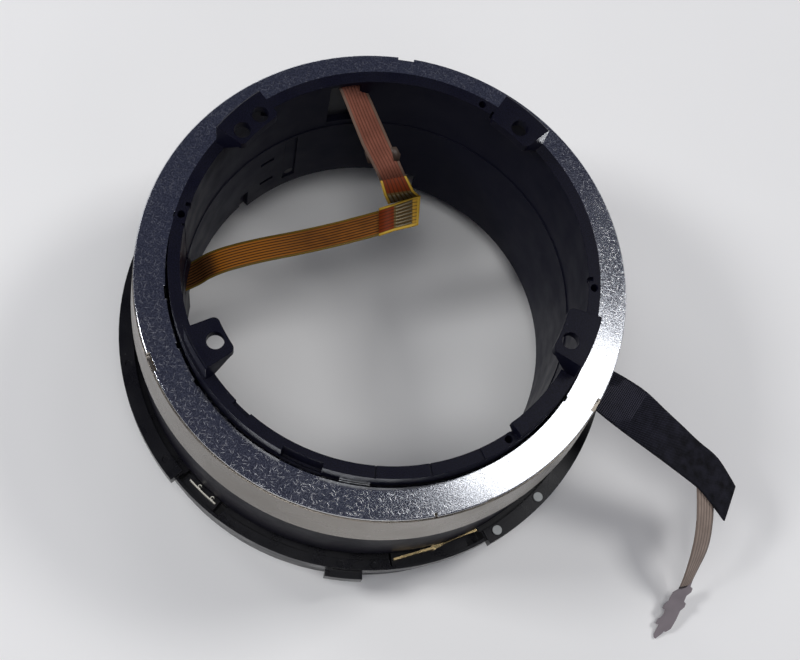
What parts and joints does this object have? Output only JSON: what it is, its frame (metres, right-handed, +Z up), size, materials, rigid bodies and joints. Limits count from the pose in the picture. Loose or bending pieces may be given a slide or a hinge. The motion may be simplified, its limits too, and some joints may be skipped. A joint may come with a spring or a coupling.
{
  "type": "camera lens focus drive unit",
  "caption": "Ring-shaped focus drive of a camera lens: black tube with drilled lugs, steel thrust plate, champagne manual ring, output ring with spring contacts, and flexible circuits.",
  "frame": {"origin": "centre of the output ring's foot, on the floor", "axes": "+Z up along the optical axis, out through the lugs; +X to the motor circuit's side"},
  "size_m": [0.1024, 0.0767, 0.044],
  "materials": {
    "barrel_black": "satin, worn lighter on the lug tops",
    "plate_steel": "polished, scratched",
    "manual_champagne": "satin, anodised",
    "housing_dark": "satin",
    "output_black": "satin",
    "contact_silver": "bright",
    "brush_gold": "bright",
    "stake_pale": "satin",
    "board_grey": "satin",
    "flex_orange": "satin",
    "flex_copper": "satin",
    "flex_beige": "satin",
    "pads_grey": "satin",
    "tip_grey": "satin",
    "tape_black": "woven",
    "screw_steel": "dark",
    "ball_steel": "polished",
    "cage_brass": "plain",
    "roller_steel": "ground",
    "carrier_aluminium": "plain",
    "rotor_aluminium": "turned",
    "stator_steel": "plain",
    "piezo_ceramic": "satin",
    "felt_white": "felt",
    "spring_steel": "plain"
  },
  "bodies": {
    "frame": {"barrel": "barrel_black", "sensor_board": "board_grey", "thrust_plate": "plate_steel", "stator": "stator_steel", "piezo_ring": "piezo_ceramic", "felt_ring": "felt_white", "spring_washer": "spring_steel", "motor_housing": "housing_dark", "housing_screws": "screw_steel", "retaining_ring": "spring_steel", "position_flex": "flex_orange", "position_flex_pads": "pads_grey", "board_flex": "flex_copper", "board_flex_pads": "pads_grey", "motor_flex": "flex_beige", "motor_flex_tip": "tip_grey", "cloth_tape": "tape_black"},
    "output": {"output_ring": "output_black", "roller_carrier": "carrier_aluminium", "roller_axles": "roller_steel", "drive_keys": "roller_steel", "contact_strip": "contact_silver", "brush_plate": "brush_gold", "brush_wires": "brush_gold", "heat_stakes": "stake_pale"},
    "rotor": {"rotor": "rotor_aluminium"},
    "roller_1": {"roller_1": "roller_steel"},
    "roller_2": {"roller_2": "roller_steel"},
    "roller_3": {"roller_3": "roller_steel"},
    "manual": {"manual_ring": "manual_champagne"},
    "race": {"ball_cage": "cage_brass", "race_balls": "ball_steel"}
  },
  "joints": [
    {"name": "output_turn", "type": "hinge", "parent": "frame", "child": "output", "pos_m": [0, 0, 0.006], "axis": [0, 0, 1], "range_deg": [-45, 45]},
    {"name": "rotor_turn", "type": "hinge", "parent": "frame", "child": "rotor", "pos_m": [0, 0, 0.0263], "axis": [0, 0, 1], "range_deg": [-92, 92]},
    {"name": "manual_turn", "type": "hinge", "parent": "frame", "child": "manual", "pos_m": [0, 0, 0.0331], "axis": [0, 0, 1], "continuous": true},
    {"name": "cage_turn", "type": "hinge", "parent": "frame", "child": "race", "pos_m": [0, 0, 0.03429], "axis": [0, 0, 1], "continuous": true},
    {"name": "roller_1_spin", "type": "hinge", "parent": "output", "child": "roller_1", "pos_m": [0.02505, 0.02102, 0.03043], "axis": [0.766, 0.6428, 0], "range_deg": [-740, 740]},
    {"name": "roller_2_spin", "type": "hinge", "parent": "output", "child": "roller_2", "pos_m": [-0.03073, 0.01118, 0.03043], "axis": [-0.9397, 0.342, 0], "range_deg": [-740, 740]},
    {"name": "roller_3_spin", "type": "hinge", "parent": "output", "child": "roller_3", "pos_m": [0.00568, -0.0322, 0.03043], "axis": [0.1736, -0.9848, 0], "range_deg": [-740, 740]}
  ],
  "couplings": [
    {"joint": "rotor_turn", "follows": "output_turn", "ratio": 2},
    {"joint": "cage_turn", "follows": "manual_turn", "ratio": 0.5},
    {"joint": "roller_1_spin", "follows": "output_turn", "ratio": 16.35},
    {"joint": "roller_2_spin", "follows": "output_turn", "ratio": 16.35},
    {"joint": "roller_3_spin", "follows": "output_turn", "ratio": 16.35}
  ]
}
